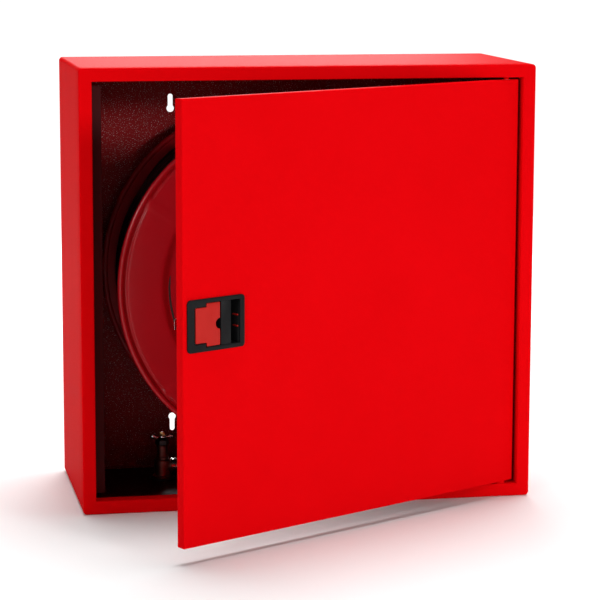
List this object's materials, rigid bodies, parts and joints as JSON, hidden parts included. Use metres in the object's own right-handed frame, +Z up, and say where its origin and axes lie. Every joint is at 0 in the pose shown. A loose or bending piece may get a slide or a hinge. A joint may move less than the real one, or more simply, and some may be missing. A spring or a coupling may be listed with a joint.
{
  "type": "fire hose reel cabinet",
  "caption": "Wall cabinet of red sheet steel with an inset door and pull-flap lock, holding a hose drum on a fixed axle, wound hose with nozzle, and a stop valve.",
  "frame": {"origin": "centre of the flat wall face of the case", "axes": "+X to the hinge side, -Y out of the wall towards the user, +Z up"},
  "size_m": [0.7, 0.6102, 0.675],
  "materials": {
    "red_paint": "textured powder coat",
    "inner_paint": "textured powder coat",
    "reel_paint": "satin powder coat",
    "red_plastic": "satin",
    "black_plastic": "fine grain",
    "zinc_steel": "zinc plated",
    "chrome": "polished",
    "nickel": "cast and plated",
    "brass": "machined",
    "aluminium": "turned",
    "nylon": "plain",
    "hose_rubber": "matt black rubber"
  },
  "bodies": {
    "cabinet": {"cabinet_wrap": "red_paint", "back_panel": "inner_paint", "strike_lip": "red_paint", "hinge_pin_top": "red_paint", "hinge_pin_bottom": "red_paint", "hinge_washer": "nylon", "reel_bracket": "zinc_steel", "bracket_bolts": "zinc_steel", "axle": "brass", "inlet_elbow": "brass", "thrust_washer": "nylon", "axle_nut": "brass", "feed_hose": "hose_rubber", "feed_clamps": "zinc_steel", "valve_body": "nickel", "union_nut": "chrome", "gland_nut": "chrome", "floor_grommet": "hose_rubber"},
    "door": {"door_skin": "red_paint", "door_stiffener": "red_paint", "bush_top": "nylon", "bush_bottom": "nylon", "lock_bezel": "black_plastic", "lock_housing": "black_plastic", "lock_screws": "zinc_steel", "flap_pin": "zinc_steel", "recess_studs": "red_plastic"},
    "flap": {"lock_flap": "red_plastic"},
    "latch": {"latch_bolt": "zinc_steel"},
    "reel": {"front_disc": "reel_paint", "rear_disc": "reel_paint", "drum_core": "inner_paint", "tie_bolts": "zinc_steel", "reel_hub": "aluminium", "bush_front": "nylon", "bush_rear": "nylon", "hub_cap": "black_plastic", "outlet_elbow": "brass", "lead_clamp": "zinc_steel", "hose": "hose_rubber", "nozzle_body": "brass"},
    "nozzle": {"nozzle_sleeve": "black_plastic"},
    "valve": {"valve_stem": "chrome", "valve_ball": "chrome", "wing_handle": "chrome", "stem_nut": "brass"}
  },
  "joints": [
    {"name": "door_hinge", "type": "hinge", "parent": "cabinet", "child": "door", "pos_m": [0.305, -0.292, 0], "axis": [0, 0, 1], "range_deg": [-29.5, 95.5]},
    {"name": "flap_pull", "type": "hinge", "parent": "door", "child": "flap", "pos_m": [-0.2224, -0.59556, 0], "axis": [0, 0, -1], "range_deg": [0, 20], "stiffness_Nm_per_rad": 0.15, "springref_deg": -5.73},
    {"name": "latch_slide", "type": "slide", "parent": "door", "child": "latch", "axis": [0.8704, 0.4924, 0], "range_m": [0, 0.0095]},
    {"name": "reel_spin", "type": "hinge", "parent": "cabinet", "child": "reel", "pos_m": [-0.025, -0.15, 0], "axis": [0, 1, 0], "continuous": true},
    {"name": "nozzle_twist", "type": "hinge", "parent": "reel", "child": "nozzle", "pos_m": [0.22026, -0.158, -0.08927], "axis": [0.342, 0, 0.9397], "range_deg": [0, 180]},
    {"name": "valve_turn", "type": "hinge", "parent": "cabinet", "child": "valve", "pos_m": [-0.201, -0.09, -0.316], "axis": [0, 0, 1], "range_deg": [0, 90]}
  ],
  "couplings": [
    {"joint": "latch_slide", "follows": "flap_pull", "m_per_rad": 0.027215}
  ]
}
